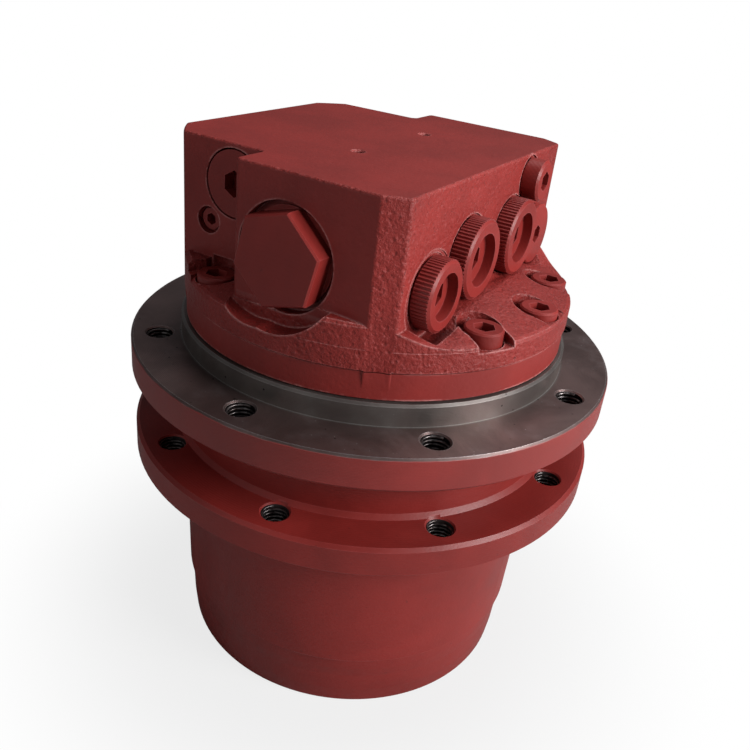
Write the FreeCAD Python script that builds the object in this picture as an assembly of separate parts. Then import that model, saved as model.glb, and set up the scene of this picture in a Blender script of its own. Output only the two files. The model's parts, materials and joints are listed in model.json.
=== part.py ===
import FreeCAD, Part
import math
import os

# Final drive of a small tracked excavator: a two-stage planetary hub round a fixed spindle,
# with the axial piston motor inside the spindle and its valves in the cast port block on top.
# Millimetres. +Z is the shaft axis, the unit stands on its cover, +X is the side of the port plugs
# and -Y the side of the large hexagon valve plug.

V = FreeCAD.Vector
os.makedirs("parts", exist_ok=True)

# ---- stations along the axis ----
COVER_TOP = 30.0
HUB_FLANGE_LOW = 106.0
HUB_FLANGE_THICK = 14.0
HUB_TOP = 146.0
FRAME_FACE = 164.0
FRAME_THICK = 16.0
PILOT_LONG = 10.0
BLOCK_FOOT = FRAME_FACE + PILOT_LONG
BAND_LONG = 12.4
BLOCK_HIGH = 81.4
BLOCK_TOP = BLOCK_FOOT + BLOCK_HIGH

# ---- gears: the module sets the ring gear, and the ring gear sets the drum round it ----
MODULE = 2.5
PRESSURE = math.radians(25)
THIN = 0.12
ADDENDUM = 1.0 * MODULE
DEDENDUM = 1.24 * MODULE
RING_TEETH = 60
SUN1_TEETH = 12
PLANET1_TEETH = 24
SUN2_TEETH = 18
PLANET2_TEETH = 21
PLANETS = 3
ARM1 = MODULE * (SUN1_TEETH + PLANET1_TEETH) / 2
ARM2 = MODULE * (SUN2_TEETH + PLANET2_TEETH) / 2
RING_ROOT_R = MODULE * RING_TEETH / 2 + DEDENDUM
RING_TIP_R = MODULE * RING_TEETH / 2 - ADDENDUM
SUN2_ROOT_R = MODULE * SUN2_TEETH / 2 - DEDENDUM
RING_LOW, RING_HIGH = 34.0, 92.0
GEAR1_LOW, GEAR1_HIGH = 36.0, 52.0
GEAR2_LOW, GEAR2_HIGH = 68.0, 90.0
PIN1_R = 8.0
PIN2_R = 9.0
PIN1_OIL_R = 2.5
SLEEVE_WALL = 2.6
CARRIER_LOW, CARRIER_HIGH = 54.0, 61.0
CARRIER_SINK = 3.5
SUN1_SHAFT_R = 9.0
SUN1_FOOT = 24.5
KEEP_LOW, KEEP_HIGH = 63.4, 66.4
RUN = 0.05
PRESS_GAP = 0.01
FLOAT = 0.3

# ---- drum and end cover ----
HUB_BORE_R = RING_ROOT_R + 0.5
NECK_R = RING_ROOT_R + 5.3
DRUM_R_FOOT = RING_ROOT_R + 10.4
DRUM_R = RING_ROOT_R + 12.4
REGISTER_R = DRUM_R + 0.5
REGISTER_LONG = 7.0
NECK_LOW = 18.0
SEAL_FLOOR = NECK_LOW - 2.55
SPANNER_HOLES = 4
SPANNER_PCR = 70.0
OIL_PORTS = ((46.0, 0.0), (-32.5, 32.5))
OIL_PORT_R = 10.0

# ---- flanges ----
FRAME_R = 115.0
FRAME_PCR = 102.2
FRAME_HOLES = 8
HUB_FLANGE_R = 114.0
HUB_PCR = 101.1
HUB_HOLES = 9
BOLT_R = 6.0
MOUTH_R = 6.7
PILOT_R = 92.2
BAND_R = 89.8

# ---- main bearings and face seal, stepping out from the nose that holds the second planet pins ----
NOSE_R = ARM2 + PIN2_R + 2.25
RACE_IN_R = NOSE_R + 2.0
RACE_IN_OUT_R = RACE_IN_R + 7.5
RACE_OUT_IN_R = RACE_IN_OUT_R + 6.0
RACE_OUT_R = RACE_OUT_IN_R + 7.5
BALL_PCR = (RACE_IN_R + RACE_OUT_R) / 2
BALL_R = 6.0
BALL_PLAY = 0.1
CAGE_EDGE = 0.6
BALLS = 20
RACE_WIDE = 14.0
RACE_LOW_Z = 99.0
RACE_HIGH_Z = 118.0
SEAL_Z = 143.0
SEAL_IN_R = RACE_IN_R + 8.0
SEAL_OUT_R = SEAL_IN_R + 8.0
SEAL_SEAT_R = SEAL_OUT_R + 6.0
RUBBER_R = (SEAL_OUT_R + SEAL_SEAT_R) / 2
TORIC_R = 2.85
BOSS_R = SEAL_SEAT_R + 9.0

# ---- motor ----
CAVITY_R = 48.0
CAVITY_LOW_R = 43.0
CAVITY_FLOOR = 112.0
CAVITY_STEP = 144.0
SPINDLE_LOW = 92.4
PIN2_TOP = 110.0
SHAFT_R = 10.0
SHAFT_BORE_R = 7.0
SHAFT_LOW, SHAFT_HIGH = 93.0, 187.5
BEARING_SEAT_R = 22.0
BEARING_WIDE = 11.0
BARREL_R = 34.0
BARREL_LOW, BARREL_HIGH = 142.0, 170.9
PISTON_CIRCLE = 25.0
PISTON_R = 5.5
PISTONS = 9
TILT = math.radians(12)
SWASH_R = 39.0
SWASH_Z = 124.0
BALL_LIFT = 5.4
BALL_PLANE = SWASH_Z + BALL_LIFT / math.cos(TILT)
GUIDE_R = 16.2
SHOE_R = 6.3
SHOE_THICK = 3.0
STEP_BACK = math.radians(5)
PIVOT_R = 4.0
PIVOT_Y = 27.0
PLATE_THICK = 2.0
BRAKE_PLATES = 5

# ---- port block ----
BLOCK_ROUND_R = 90.6
BLOCK_FACE_X = 51.3
BLOCK_BACK_X = -23.4
BLOCK_Y = 80.6
WING_X = -76.0
WING_Y = 62.5
SHELF_FACE_Z = FRAME_FACE + 40.0
SHELF_RIM_Z = FRAME_FACE + 33.5
SCREW_R = 5.0
SCREW_HEAD_R = 8.3
SCREW_HEAD_LONG = 9.3
SCREW_CIRCLE = 80.4
SCREW_SEAT = FRAME_FACE + 27.5
SCREW_DISH_R = 9.0
SCREW_ANGLES = (0, 28, -28, 121, -121, 153, -153)
SCREW_LIPS = (5.8, 3.2, 3.2, 7.4, 7.4, 7.4, 7.4)
BLOCK_CORNER = 2.4
BLOCK_RIM = 1.1
SHELF_COVE = 4.0
LIP_CREST = ((2.0, 42.4), (28.0, 42.4), (39.7, 41.8), (47.0, 40.8), (53.3, 38.8), (60.6, 35.2), (67.3, 33.6), (75.0, 33.0))
VALVE_X = 2.0
VALVE_Z = FRAME_FACE + 58.0
VALVE_MOUTH_R = 22.4
VALVE_DEEP = 5.0
VALVE_PLUG_FLATS = 36.0
VALVE_PLUG_OUT = 87.2
SPOOL_R = 9.0
SPRING_SEAT_R = 11.0
WING_PLUG_X = -38.3
WING_PLUG_Z = FRAME_FACE + 74.6
WING_PLUG_R = 14.8
PILOT_X = -51.7
PILOT_Z = FRAME_FACE + 56.4
SPEED_R = 7.0
GAUGE_R = 2.5
GAUGE_Y = 29.5

# ---- plugs on the port face: (Y, Z, head radius) ----
PORT_PLUGS = (
    (-53.0, FRAME_FACE + 50.6, 14.4),
    (-21.0, FRAME_FACE + 57.5, 16.6),
    (22.5, FRAME_FACE + 57.3, 16.8),
)
ROUND_PLUG = (38.8, FRAME_FACE + 80.3, 9.3)
FLAT_PLUG = (54.2, FRAME_FACE + 51.0, 14.6)
PLUG_OUT = 59.4
FLAT_OUT = 55.4
PLUG_DEEP = 1.0
STEM_SHARE = 0.62


# ---------------------------------------------------------------- helpers
def tube(r_out, r_in, low, high, x=0.0, y=0.0):
    """A ring or, with no inner radius, a disc standing on +Z."""
    solid = Part.makeCylinder(r_out, high - low, V(x, y, low))
    if r_in > 0:
        solid = solid.cut(Part.makeCylinder(r_in, high - low + 2, V(x, y, low - 1)))
    return solid


def rod(radius, start, end):
    """A round bar from one point to another."""
    along = V(*end) - V(*start)
    return Part.makeCylinder(radius, along.Length, V(*start), along)


def turned(points):
    """A body turned round the Z axis from its (radius, height) outline."""
    outline = Part.makePolygon([V(r, 0, z) for r, z in points] + [V(points[0][0], 0, points[0][1])])
    return Part.Face(outline).revolve(V(0, 0, 0), V(0, 0, 1), 360)


def box(x0, x1, y0, y1, z0, z1):
    return Part.makeBox(x1 - x0, y1 - y0, z1 - z0, V(x0, y0, z0))


def hexagon(flats, start, along, length):
    """A hexagonal prism across the given flats, from a point along an axis."""
    along = V(*along)
    side = V(0, 0, 1) if abs(along.z) < 0.5 else V(1, 0, 0)
    other = along.cross(side)
    reach = flats / math.sqrt(3)
    ring = []
    for step in range(7):
        turn = math.radians(60 * step)
        ring.append(V(*start) + side * (reach * math.cos(turn)) + other * (reach * math.sin(turn)))
    return Part.Face(Part.makePolygon(ring)).extrude(along * length)


def about_z(shape, degrees):
    copy = shape.copy()
    copy.rotate(V(0, 0, 0), V(0, 0, 1), degrees)
    return copy


def around(shape, count, first=0.0):
    """Copies of a shape evenly round the Z axis."""
    return [about_z(shape, first + 360.0 * n / count) for n in range(count)]


def on_circle(radius, count, first=0.0):
    """Points evenly round the Z axis."""
    turns = [math.radians(first + 360.0 * n / count) for n in range(count)]
    return [(radius * math.cos(t), radius * math.sin(t)) for t in turns]


def coned_hole(radius, mouth, x, y, low, high, ends="both"):
    """A drilled hole with chamfered mouths, to be cut from a plate between two heights."""
    cone = mouth - radius
    tool = Part.makeCylinder(radius, high - low + 2, V(x, y, low - 1))
    if ends in ("both", "top"):
        tool = tool.fuse(Part.makeCone(radius, mouth + cone, 2 * cone, V(x, y, high - cone)))
    if ends in ("both", "foot"):
        tool = tool.fuse(Part.makeCone(mouth + cone, radius, 2 * cone, V(x, y, low - cone)))
    return tool


def torus(radius, cord, z, x=0.0, y=0.0, axis=(0, 0, 1)):
    return Part.makeTorus(radius, cord, V(x, y, z), V(*axis))


def group(solids):
    return Part.makeCompound(solids)


# ---------------------------------------------------------------- gears
def half_angle(radius, teeth, inside):
    """Half the angle that a tooth fills at a radius, from the involute of its flank."""
    pitch = MODULE * teeth / 2
    base = pitch * math.cos(PRESSURE)
    held = max(radius, base)
    lean = math.acos(base / held)
    roll = math.tan(lean) - lean
    roll_pitch = math.tan(PRESSURE) - PRESSURE
    thick = math.pi / (2 * teeth) - THIN / pitch
    return thick + (roll_pitch - roll if not inside else roll - roll_pitch)


def polar(radius, turn):
    return V(radius * math.cos(turn), radius * math.sin(turn), 0)


def flank(r_from, r_to, turn, side, teeth, inside):
    """One tooth flank as an arc through its root, middle and tip."""
    points = []
    for radius in (r_from, (r_from + r_to) / 2, r_to):
        points.append(polar(radius, turn + side * half_angle(radius, teeth, inside)))
    return Part.Arc(*points).toShape()


def gear_face(teeth, phase, inside=False):
    """The outline of a spur gear, or of the space inside a ring gear, with a tooth at the phase angle."""
    pitch = MODULE * teeth / 2
    tip = pitch - ADDENDUM if inside else pitch + ADDENDUM
    root = pitch + DEDENDUM if inside else pitch - DEDENDUM
    step = 2 * math.pi / teeth
    edges = []
    for n in range(teeth):
        turn = phase + n * step
        at_root = half_angle(root, teeth, inside)
        at_tip = half_angle(tip, teeth, inside)
        edges.append(flank(root, tip, turn, -1, teeth, inside))
        edges.append(Part.Arc(polar(tip, turn - at_tip), polar(tip, turn), polar(tip, turn + at_tip)).toShape())
        edges.append(flank(tip, root, turn, 1, teeth, inside))
        middle = turn + step / 2
        after = turn + step - at_root
        edges.append(Part.Arc(polar(root, turn + at_root), polar(root, middle), polar(root, after)).toShape())
    return Part.Face(Part.Wire(edges))


def gear(teeth, phase, low, high, x=0.0, y=0.0, bore=0.0):
    """A spur gear standing on +Z, with the ends of its teeth chamfered."""
    body = gear_face(teeth, phase).extrude(V(0, 0, high - low))
    tip = MODULE * teeth / 2 + ADDENDUM
    ease = 0.8
    blank = turned([(0, 0), (tip - ease, 0), (tip + 1, ease + 1), (tip + 1, high - low - ease - 1),
                    (tip - ease, high - low), (0, high - low)])
    body = body.common(blank)
    if bore:
        body = body.cut(Part.makeCylinder(bore, high - low + 2, V(0, 0, -1)))
    body.translate(V(x, y, low))
    return body


def planet_phase(teeth, arm_turn, ring_phase):
    """The phase that sets a planet in mesh with the ring gear at its place round the axis."""
    return ((ring_phase - arm_turn) * RING_TEETH - math.pi) / teeth + arm_turn


# ---------------------------------------------------------------- rotating hub
def make_hub():
    """The hub casting: drum, sprocket flange, labyrinth boss, bearing seats and ring gear teeth."""
    top = HUB_FLANGE_LOW + HUB_FLANGE_THICK
    step_low = HUB_FLANGE_LOW - REGISTER_LONG
    outline = [
        (HUB_BORE_R, NECK_LOW), (NECK_R - 0.6, NECK_LOW), (NECK_R, NECK_LOW + 0.6), (NECK_R, COVER_TOP),
        (DRUM_R_FOOT - 1.0, COVER_TOP), (DRUM_R_FOOT, COVER_TOP + 1.0), (DRUM_R, step_low - 1.0),
        (REGISTER_R, step_low), (REGISTER_R, HUB_FLANGE_LOW),
        (HUB_FLANGE_R - 1.0, HUB_FLANGE_LOW), (HUB_FLANGE_R, HUB_FLANGE_LOW + 1.0),
        (HUB_FLANGE_R, top - 1.5), (HUB_FLANGE_R - 1.5, top), (BOSS_R + 2.0, top),
        (BOSS_R, top + 2.0), (BOSS_R, HUB_TOP - 1.0), (BOSS_R - 1.0, HUB_TOP),
        (SEAL_SEAT_R + 1.0, HUB_TOP), (SEAL_SEAT_R, HUB_TOP - 1.0), (SEAL_SEAT_R, 134.0),
        (RACE_OUT_R, 134.0), (RACE_OUT_R, RACE_HIGH_Z), (RACE_OUT_R - 3.5, RACE_HIGH_Z),
        (RACE_OUT_R - 3.5, RACE_LOW_Z + RACE_WIDE), (RACE_OUT_R, RACE_LOW_Z + RACE_WIDE), (RACE_OUT_R, 95.0),
        (HUB_BORE_R, RING_HIGH), (RING_TIP_R - 2.5, RING_HIGH), (RING_TIP_R - 2.5, RING_LOW), (HUB_BORE_R, RING_LOW),
    ]
    hub = turned(outline)
    teeth = gear_face(RING_TEETH, 0.0, True).extrude(V(0, 0, RING_HIGH - RING_LOW + 2))
    teeth.translate(V(0, 0, RING_LOW - 1))
    hub = hub.cut(teeth)
    for x, y in on_circle(HUB_PCR, HUB_HOLES):
        hub = hub.cut(coned_hole(BOLT_R, MOUTH_R, x, y, HUB_FLANGE_LOW, top))
    notch = box(DRUM_R_FOOT - 1.2, DRUM_R + 3, -5, 5, 44, 56)
    return hub.cut(about_z(notch, 20))


def make_cover():
    """The end cover, screwed over the hub's neck, with two oil plug ports and blind spanner holes."""
    rim = DRUM_R_FOOT - 0.9
    outline = [
        (0, 3.0), (24.0, 3.0), (26.0, 0.0), (rim - 3.4, 0.0), (rim - 2.4, 1.0), (rim - 1.5, 9.0), (rim - 1.0, 19.0),
        (rim - 0.4, 24.0), (rim, COVER_TOP), (NECK_R + RUN, COVER_TOP), (NECK_R + RUN, SEAL_FLOOR),
        (HUB_BORE_R - 0.6, SEAL_FLOOR), (HUB_BORE_R - 2.6, 12.0), (18.0, 12.0), (12.0, 14.0),
        (10.0, SUN1_FOOT - 0.2), (0, SUN1_FOOT - 0.2),
    ]
    cover = turned(outline)
    for x, y in on_circle(SPANNER_PCR, SPANNER_HOLES, 45.0):
        cover = cover.cut(tube(4.0, 0, -1, 7.0, x, y))
    for x, y in OIL_PORTS:
        cover = cover.fuse(tube(15.0, 0, 10.0, 15.0, x, y)).cut(tube(OIL_PORT_R, 0, -1, 16, x, y))
        cover = cover.cut(tube(13.0, 0, -1, 3.5, x, y))
    return cover.removeSplitter()


def socket_screw(radius, head_r, head_long, seat, length, x, y, down=True):
    """A socket head cap screw on Z with its hexagon socket, head on top when it points down."""
    sense = 1 if down else -1
    head = rod(head_r, (x, y, seat), (x, y, seat + sense * head_long))
    ease = [e for e in head.Edges if abs(e.CenterOfMass.z - seat) > head_long - 0.1 and e.Closed]
    head = head.makeChamfer(0.7, ease[:1])
    shank = rod(radius, (x, y, seat + sense * 0.1), (x, y, seat - sense * length))
    socket = hexagon(head_r, (x, y, seat + sense * head_long * 0.45), (0, 0, sense), head_long)
    return head.fuse(shank).cut(socket)


def make_oil_plugs():
    plugs = []
    for x, y in OIL_PORTS:
        plug = tube(OIL_PORT_R - RUN, 0, 3.5, 14.0, x, y).fuse(tube(12.7, 0, 0.5, 3.5, x, y))
        plugs.append(plug.cut(hexagon(10.0, (x, y, -0.5), (0, 0, 1), 7.0)))
    return group(plugs)


def make_bearing(low, tip_up):
    """One angular contact ball bearing: inner race, outer race, balls and cage."""
    middle = low + RACE_WIDE / 2
    track = torus(BALL_PCR, BALL_R + BALL_PLAY, middle)
    inner = tube(RACE_IN_OUT_R, RACE_IN_R, low, low + RACE_WIDE).cut(track)
    outer = tube(RACE_OUT_R, RACE_OUT_IN_R, low, low + RACE_WIDE).cut(track)
    balls = [Part.makeSphere(BALL_R, V(x, y, middle)) for x, y in on_circle(BALL_PCR, BALLS)]
    half = BALL_R + CAGE_EDGE
    cage = tube(BALL_PCR + 2.4, BALL_PCR - 2.4, middle - half, middle + half)
    for x, y in on_circle(BALL_PCR, BALLS):
        reach = math.hypot(x, y)
        out = (x / reach, y / reach, 0)
        cage = cage.cut(Part.makeCylinder(BALL_R + 0.25, 12, V(x - 6 * out[0], y - 6 * out[1], middle), V(*out)))
    return inner, outer, balls, cage


def make_seal_ring(low, high):
    """One half of the floating face seal, with the groove that its rubber ring sits in."""
    return turned([(SEAL_IN_R, low), (SEAL_OUT_R, low), (SEAL_OUT_R, high), (SEAL_IN_R, high)])


# ---------------------------------------------------------------- spindle
def make_spindle():
    """The fixed spindle: frame flange and pilot, bearing journal, motor cavity and planet carrier end."""
    low = FRAME_FACE - FRAME_THICK
    outline = [
        (BEARING_SEAT_R, SPINDLE_LOW), (NOSE_R - 1.0, SPINDLE_LOW), (NOSE_R, SPINDLE_LOW + 1.0), (NOSE_R, RACE_LOW_Z),
        (RACE_IN_R - 0.02, RACE_LOW_Z), (RACE_IN_R - 0.02, RACE_HIGH_Z + RACE_WIDE),
        (SEAL_IN_R - 3.0, RACE_HIGH_Z + RACE_WIDE), (SEAL_IN_R - 3.0, low + 7.0),
        (SEAL_SEAT_R, low + 7.0), (SEAL_SEAT_R, low + 1.0),
        (SEAL_SEAT_R + 1.0, low), (FRAME_R - 2.0, low), (FRAME_R, low + 2.0),
        (FRAME_R, FRAME_FACE - 1.0), (FRAME_R - 1.0, FRAME_FACE), (PILOT_R, FRAME_FACE),
        (PILOT_R, BLOCK_FOOT - 1.0), (PILOT_R - 1.0, BLOCK_FOOT), (CAVITY_R, BLOCK_FOOT),
        (CAVITY_R, CAVITY_STEP), (CAVITY_LOW_R, CAVITY_STEP), (CAVITY_LOW_R, CAVITY_FLOOR), (BEARING_SEAT_R, CAVITY_FLOOR),
    ]
    spindle = turned(outline)
    for x, y in on_circle(FRAME_PCR, FRAME_HOLES):
        spindle = spindle.cut(coned_hole(BOLT_R, MOUTH_R, x, y, low, FRAME_FACE))
    for x, y in on_circle(ARM2, PLANETS):
        spindle = spindle.cut(tube(PIN2_R + PRESS_GAP, 0, SPINDLE_LOW - 1, PIN2_TOP, x, y))
    for angle in SCREW_ANGLES:
        x, y = on_circle(SCREW_CIRCLE, 1, angle)[0]
        spindle = spindle.cut(tube(SCREW_R, 0, 156.6, BLOCK_FOOT + 1, x, y))
    for y in (-PIVOT_Y, PIVOT_Y):
        spindle = spindle.cut(Part.makeSphere(PIVOT_R + 0.02, V(0, y, CAVITY_FLOOR)))
    groove = tube(CAVITY_R + 6.4, CAVITY_R + 2.6, BLOCK_FOOT - 2.6, BLOCK_FOOT + 1)
    return spindle.cut(groove)


def make_bearing_nut():
    nut = tube(NOSE_R + 7.5, NOSE_R + RUN, RACE_LOW_Z - 5.6, RACE_LOW_Z - RUN)
    slot = box(NOSE_R + 4.5, NOSE_R + 10.0, -3.0, 3.0, RACE_LOW_Z - 6.0, RACE_LOW_Z + 0.5)
    for tool in around(slot, 4):
        nut = nut.cut(tool)
    return nut


# ---------------------------------------------------------------- planetary stages
def make_planets(teeth, arm, low, high, pin_r):
    gears = []
    for n, (x, y) in enumerate(on_circle(arm, PLANETS)):
        turn = 2 * math.pi * n / PLANETS
        phase = planet_phase(teeth, turn, 0.0)
        gears.append(gear(teeth, phase, low, high, x, y, pin_r + SLEEVE_WALL + RUN))
    return gears


def make_sleeves(arm, low, high, pin_r):
    return group([tube(pin_r + SLEEVE_WALL, pin_r + 0.02, low, high, x, y) for x, y in on_circle(arm, PLANETS)])


def make_carrier1():
    """The first carrier: a plate that drives the second sun gear, with three pin bosses below."""
    plate = tube(ARM1 + PIN1_R + 9.0, SUN1_SHAFT_R + 3.5, CARRIER_LOW, CARRIER_HIGH)
    for x, y in on_circle(ARM1, PLANETS):
        plate = plate.cut(tube(PIN1_R + PRESS_GAP, 0, CARRIER_LOW - 1, CARRIER_HIGH + 1, x, y))
    for x, y in on_circle(ARM1 + 2.0, PLANETS, 60.0):
        plate = plate.cut(tube(11.0, 0, CARRIER_LOW - 1, CARRIER_HIGH + 1, x, y))
    return plate.cut(tube(SUN2_ROOT_R - 0.1, 0, CARRIER_HIGH - CARRIER_SINK, CARRIER_HIGH + 1))


def make_pins1():
    pins = []
    for x, y in on_circle(ARM1, PLANETS):
        shank = tube(PIN1_R, PIN1_OIL_R, GEAR1_LOW - 1.8, CARRIER_HIGH, x, y)
        pins.append(shank.fuse(tube(PIN1_R + 3.5, PIN1_OIL_R, GEAR1_LOW - 2.8, GEAR1_LOW - 0.6, x, y)))
    return group(pins)


def make_sun2():
    """The second sun gear, a sleeve round the first sun's shaft, seated in the first carrier."""
    bore = SUN1_SHAFT_R + 3.4
    sun = gear(SUN2_TEETH, math.pi / SUN2_TEETH, CARRIER_HIGH + 0.2, GEAR2_HIGH + 1.0, bore=bore)
    return sun.fuse(tube(SUN2_ROOT_R - 0.2, bore, CARRIER_HIGH - CARRIER_SINK + 0.1, CARRIER_HIGH + 0.4))


def make_sun1():
    """The first sun gear on its long shaft, which runs up into the motor shaft."""
    sun = gear(SUN1_TEETH, 0.0, GEAR1_LOW - 2.0, GEAR1_HIGH + 1.0)
    shaft = rod(SUN1_SHAFT_R, (0, 0, SUN1_FOOT), (0, 0, SHAFT_LOW - 3.0))
    spline = rod(SHAFT_BORE_R - RUN, (0, 0, SHAFT_LOW - 3.2), (0, 0, SHAFT_LOW + 17.0))
    return sun.fuse([shaft, spline])


def make_keep_plate():
    """The plate under the second planets that holds them on their pins."""
    plate = tube(NOSE_R, ARM2 - 16.75, KEEP_LOW, KEEP_HIGH)
    for x, y in on_circle(ARM2 + 7.75, PLANETS, 60.0):
        plate = plate.cut(tube(15.0, 0, KEEP_LOW - 1, KEEP_HIGH + 1, x, y))
    for x, y in on_circle(ARM2, PLANETS):
        plate = plate.cut(tube(4.3, 0, KEEP_LOW - 1, KEEP_HIGH + 1, x, y))
    return plate


def make_pins2():
    pins = []
    for x, y in on_circle(ARM2, PLANETS):
        pin = tube(PIN2_R, 0, KEEP_HIGH + 0.1, PIN2_TOP, x, y)
        pins.append(pin.cut(tube(4.0, 0, KEEP_LOW, KEEP_HIGH + 18.0, x, y)))
    return group(pins)


def make_keep_screws():
    screws = []
    for x, y in on_circle(ARM2, PLANETS):
        screws.append(socket_screw(3.95, 6.3, 2.2, KEEP_LOW - 0.1, 19.0, x, y, down=False))
    return group(screws)


# ---------------------------------------------------------------- motor
def tilted(shape):
    """A shape drawn on the XY plane, set on the swash plate's running face."""
    copy = shape.copy()
    copy.translate(V(0, 0, -BALL_LIFT))
    copy.rotate(V(0, 0, 0), V(0, 1, 0), -math.degrees(TILT))
    copy.translate(V(0, 0, BALL_PLANE))
    return copy


def make_swash():
    """The wedge-shaped swash plate, its two back facets giving the motor its two speeds."""
    body = tube(SWASH_R, 15.0, CAVITY_FLOOR - 5, 140.0)
    under_face = Part.makeBox(200, 200, 60, V(-100, -100, -60))
    body = body.common(tilted(under_face))
    half = box(-60, 60, -60, 60, 0, 60)
    flat = half.copy()
    flat.translate(V(0, 0, CAVITY_FLOOR + FLOAT))
    leaning = half.copy()
    leaning.rotate(V(0, 0, 0), V(0, 1, 0), -math.degrees(STEP_BACK))
    leaning.translate(V(0, 0, CAVITY_FLOOR + FLOAT))
    body = body.common(flat).common(leaning)
    for y in (-PIVOT_Y, PIVOT_Y):
        body = body.cut(Part.makeSphere(PIVOT_R + 0.05, V(0, y, CAVITY_FLOOR)))
    return body


def make_pistons():
    """Nine pistons with ball ends, each at the stroke that the swash plate gives it."""
    pistons = []
    for x, y in on_circle(PISTON_CIRCLE, PISTONS):
        foot = BALL_PLANE + x * math.tan(TILT)
        ball = Part.makeSphere(3.6, V(x, y, foot))
        neck = rod(2.6, (x, y, foot), (x, y, foot + 6.0))
        body = rod(PISTON_R - 0.03, (x, y, foot + 5.0), (x, y, foot + 31.0))
        hollow = rod(3.2, (x, y, foot + 12.0), (x, y, foot + 32.0))
        pistons.append(ball.fuse([neck, body]).cut(hollow))
    return group(pistons)


def shoe_places():
    """Where the shoes sit on the running face, in its own plane."""
    return [(x / math.cos(TILT), y) for x, y in on_circle(PISTON_CIRCLE, PISTONS)]


def make_shoes():
    shoes = []
    for x, y in shoe_places():
        shoe = tube(SHOE_R, 0, 0.02, SHOE_THICK, x, y).fuse(tube(4.9, 0, 2.5, 6.6, x, y))
        shoe = shoe.cut(Part.makeSphere(3.7, V(x, y, BALL_LIFT)))
        shoes.append(tilted(shoe))
    return group(shoes)


def make_retainer():
    plate = tube(32.5, 18.6, SHOE_THICK + 0.1, SHOE_THICK + 2.0)
    for x, y in shoe_places():
        plate = plate.cut(tube(5.3, 0, 0, 9, x, y))
    return tilted(plate)


def make_guide():
    """The ball guide on the motor shaft that bears on the retaining plate."""
    ball = Part.makeSphere(GUIDE_R, V(0, 0, BALL_PLANE))
    ball = ball.common(box(-20, 20, -20, 20, SWASH_Z + 4.6, 136.0))
    return ball.cut(tube(SHAFT_R + 0.05, 0, 100, 150))


def make_barrel():
    """The cylinder barrel with its nine bores and kidney ports."""
    barrel = tube(BARREL_R, SHAFT_R + 0.05, BARREL_LOW, BARREL_HIGH)
    barrel = barrel.cut(tube(16.0, 0, 136.0, 150.0))
    for x, y in on_circle(PISTON_CIRCLE, PISTONS):
        barrel = barrel.cut(tube(PISTON_R, 0, BARREL_LOW - 1, 168.0, x, y))
        barrel = barrel.cut(tube(3.0, 0, 167.0, BARREL_HIGH + 1, x, y))
    return barrel


def make_barrel_springs():
    """Four disc springs that push the barrel up and the ball guide down."""
    discs = []
    for n in range(4):
        low = 136.3 + 3.4 * n
        outline = [(SHAFT_R + 0.3, low + 1.8), (15.4, low), (15.4, low + 1.2), (SHAFT_R + 0.3, low + 3.0)]
        disc = turned(outline)
        if n % 2:
            disc = turned([(SHAFT_R + 0.3, low), (15.4, low + 1.8), (15.4, low + 3.0), (SHAFT_R + 0.3, low + 1.2)])
        discs.append(disc)
    return group(discs)


def make_shaft():
    """The motor shaft, bored at its foot for the first sun's shaft."""
    shaft = turned([(0, SHAFT_LOW), (SHAFT_R - 0.5, SHAFT_LOW), (SHAFT_R, SHAFT_LOW + 0.5),
                    (SHAFT_R, SHAFT_HIGH - 0.5), (SHAFT_R - 0.5, SHAFT_HIGH), (0, SHAFT_HIGH)])
    return shaft.cut(rod(SHAFT_BORE_R, (0, 0, SHAFT_LOW - 1), (0, 0, SHAFT_LOW + 19.0)))


def make_shaft_bearing(low):
    """A roller bearing on the motor shaft: outer ring, inner ring and rollers."""
    high = low + BEARING_WIDE
    outer = tube(BEARING_SEAT_R - RUN, BEARING_SEAT_R - 3.0, low, high)
    inner = tube(SHAFT_R + 3.0, SHAFT_R + 0.02, low, high)
    middle = (BEARING_SEAT_R + SHAFT_R) / 2
    roller = (BEARING_SEAT_R - SHAFT_R - 6.0) / 2 - 0.1
    rollers = [tube(roller, 0, low + 1.0, high - 1.0, x, y) for x, y in on_circle(middle, 13)]
    return outer, inner, rollers


def make_valve_plate():
    """The port plate between the barrel and the port block, with its two kidney ports."""
    plate = tube(BARREL_R, 14.0, BARREL_HIGH + 0.1, BLOCK_FOOT - 0.02)
    band = tube(PISTON_CIRCLE + 3.0, PISTON_CIRCLE - 3.0, 160, 180)
    for sense in (-1, 1):
        side = box(min(0, sense * 60), max(0, sense * 60), -60, 60, 160, 180)
        keep = box(-60, 60, -60, 60, 160, 180).cut(box(-7, 7, -60, 60, 159, 181))
        plate = plate.cut(band.common(side).common(keep))
    return plate


def make_brake_plates():
    """Fixed steel plates and turning friction plates, stacked in turn on the cavity's step."""
    steel, friction = [], []
    low = CAVITY_STEP
    for n in range(BRAKE_PLATES):
        if n % 2 == 0:
            steel.append(tube(CAVITY_R - 0.1, 37.0, low, low + PLATE_THICK))
        else:
            friction.append(tube(44.0, BARREL_R + 0.05, low, low + PLATE_THICK))
        low += PLATE_THICK + 0.05
    return group(steel), group(friction), low


def make_brake_piston(low):
    return turned([(36.5, low), (CAVITY_R - 0.05, low), (CAVITY_R - 0.05, 167.0), (36.5, 167.0)])


def make_brake_spring():
    """The single disc spring that holds the brake on."""
    return turned([(36.8, 167.1), (38.6, 167.1), (47.6, 172.2), (47.6, 173.9), (45.6, 173.9), (36.8, 168.9)])


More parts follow.
